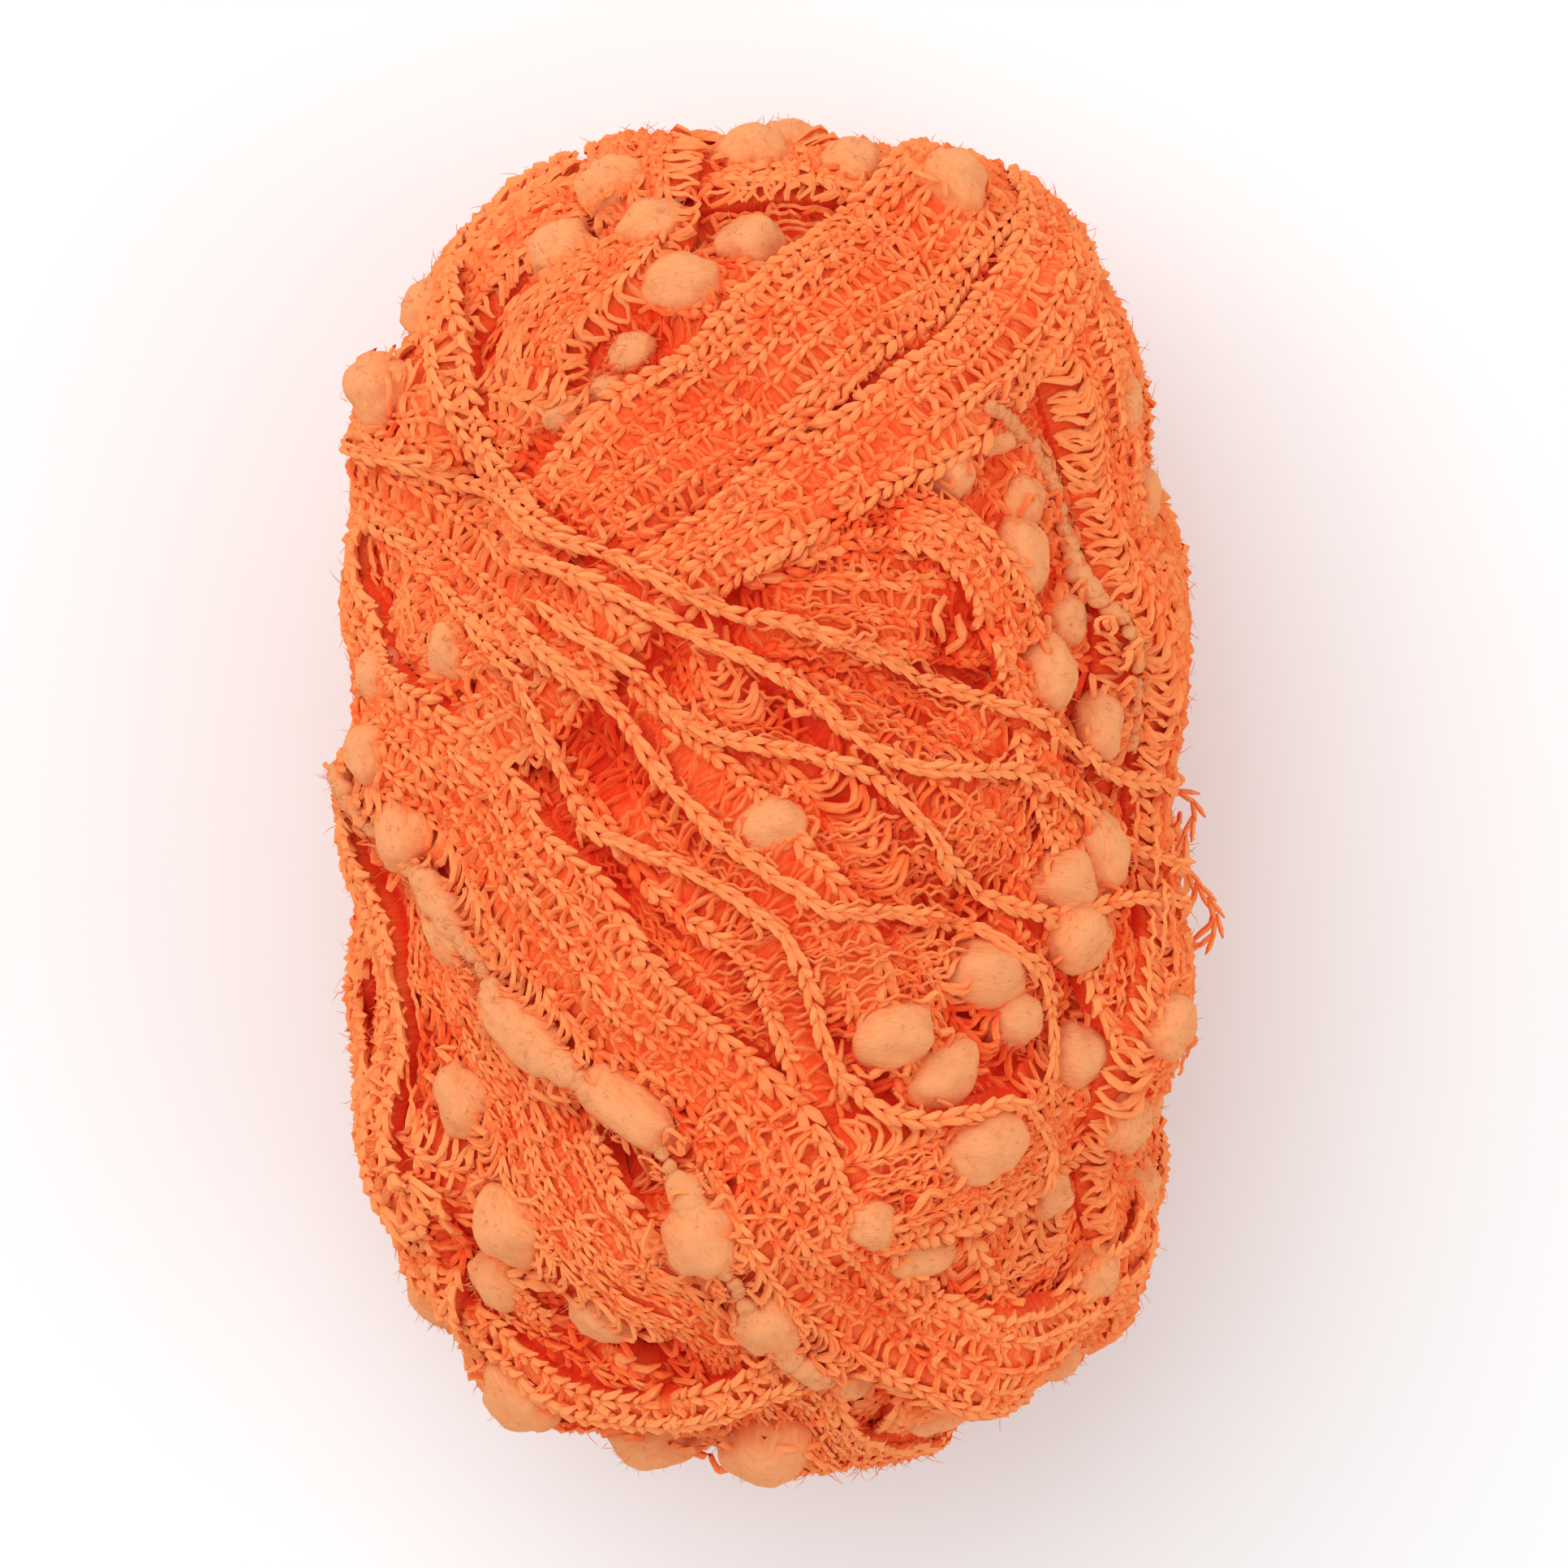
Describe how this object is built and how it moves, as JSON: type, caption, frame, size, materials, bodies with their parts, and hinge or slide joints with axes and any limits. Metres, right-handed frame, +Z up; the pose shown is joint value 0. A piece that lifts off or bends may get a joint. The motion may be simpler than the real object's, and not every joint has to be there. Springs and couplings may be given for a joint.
{
  "type": "ball of pompom yarn",
  "caption": "Barrel-shaped ball of knitted mesh ribbon yarn with soft pompoms along one edge, lying on its side with a flat spot under it.",
  "frame": {"origin": "on the surface the ball lies on, at the middle of the bounding box's bottom", "axes": "+Z up, away from the surface; +Y along the ball's long axis, towards the end where the broad bands come over; +X to the side with the pulled-out loop"},
  "size_m": [0.1105, 0.1704, 0.0978],
  "materials": {
    "yarn": "matt, fuzzy knitted yarn, one orange throughout with lighter felted pompoms"
  },
  "bodies": {
    "root": {"yarn_ball": "yarn"}
  },
  "joints": []
}
